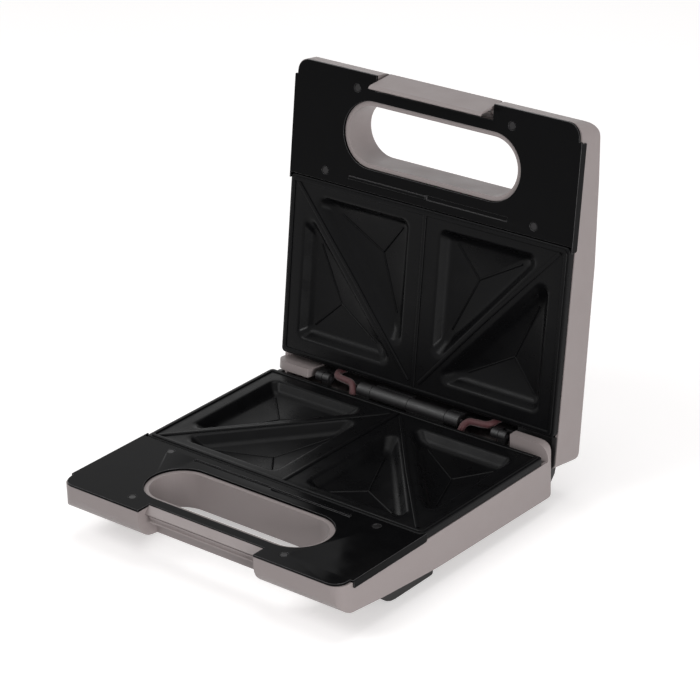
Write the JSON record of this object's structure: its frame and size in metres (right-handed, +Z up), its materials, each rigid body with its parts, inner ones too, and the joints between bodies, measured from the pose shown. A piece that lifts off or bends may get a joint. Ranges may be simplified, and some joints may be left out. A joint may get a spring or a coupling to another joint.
{
  "type": "sandwich toaster",
  "caption": "Hinged sandwich toaster, open: two grey housings with handle slots, black panels, dark cast plates with triangular pockets, and a sprung latch.",
  "frame": {"origin": "on the table under the middle of the open toaster's bounding box", "axes": "+Z up, front faces -Y, +X to the right of someone who faces the front; rest pose has the lid fully open"},
  "size_m": [0.23, 0.2646, 0.2536],
  "materials": {
    "housing_plastic": "satin moulded plastic, warm grey",
    "panel_plastic": "glossy black heat-proof plastic",
    "plate_coating": "cast aluminium with a dark grey release coating",
    "black_plastic": "satin black plastic",
    "steel": "bright steel",
    "dark_steel": "blackened steel",
    "element_sheath": "dull stainless sheath",
    "shield": "bright sheet",
    "rubber": "black rubber",
    "sleeve": "dark red glass-fibre sleeve",
    "terminal_plastic": "off-white heat-proof plastic",
    "red_lens": "translucent red",
    "green_lens": "translucent green",
    "lamp_glass": "clear glass"
  },
  "bodies": {
    "base": {"base_housing": "housing_plastic", "base_panel": "panel_plastic", "base_plate": "plate_coating", "base_element": "element_sheath", "base_element_clamp": "steel", "base_heat_shield": "shield", "base_panel_screws": "dark_steel", "base_plate_screws": "steel", "thermostat": "steel", "thermal_fuse": "sleeve", "terminal_block": "terminal_plastic", "cord_gland": "black_plastic", "front_foot_left": "rubber", "front_foot_right": "rubber", "rear_pad_left": "rubber", "rear_pad_right": "rubber", "rear_stand_left": "black_plastic", "rear_stand_right": "black_plastic", "base_hinge_bracket": "black_plastic", "hinge_pin": "steel", "outer_hinge_pins": "steel", "lead_sleeve_left": "sleeve", "lead_sleeve_right": "sleeve"},
    "lid": {"lid_housing": "housing_plastic", "lid_panel": "panel_plastic", "lid_plate": "plate_coating", "lid_element": "element_sheath", "lid_element_clamp": "steel", "lid_heat_shield": "shield", "lid_panel_screws": "dark_steel", "lid_plate_screws": "steel", "lid_hinge_bracket": "black_plastic", "power_lens": "red_lens", "ready_lens": "green_lens", "power_lamp": "lamp_glass", "ready_lamp": "lamp_glass", "latch_pin": "steel", "latch_spring": "steel"},
    "latch": {"latch": "housing_plastic"}
  },
  "joints": [
    {"name": "lid_hinge", "type": "hinge", "parent": "base", "child": "lid", "pos_m": [0, 0.08152, 0.04205], "axis": [1, 0, 0], "range_deg": [0, 98], "deforming": ["lead_sleeve_left", "lead_sleeve_right"]},
    {"name": "latch_pivot", "type": "hinge", "parent": "lid", "child": "latch", "pos_m": [0, 0.11932, 0.24597], "axis": [1, 0, 0], "range_deg": [-30, 0], "stiffness_Nm_per_rad": 0.02, "springref_deg": 20.05}
  ]
}
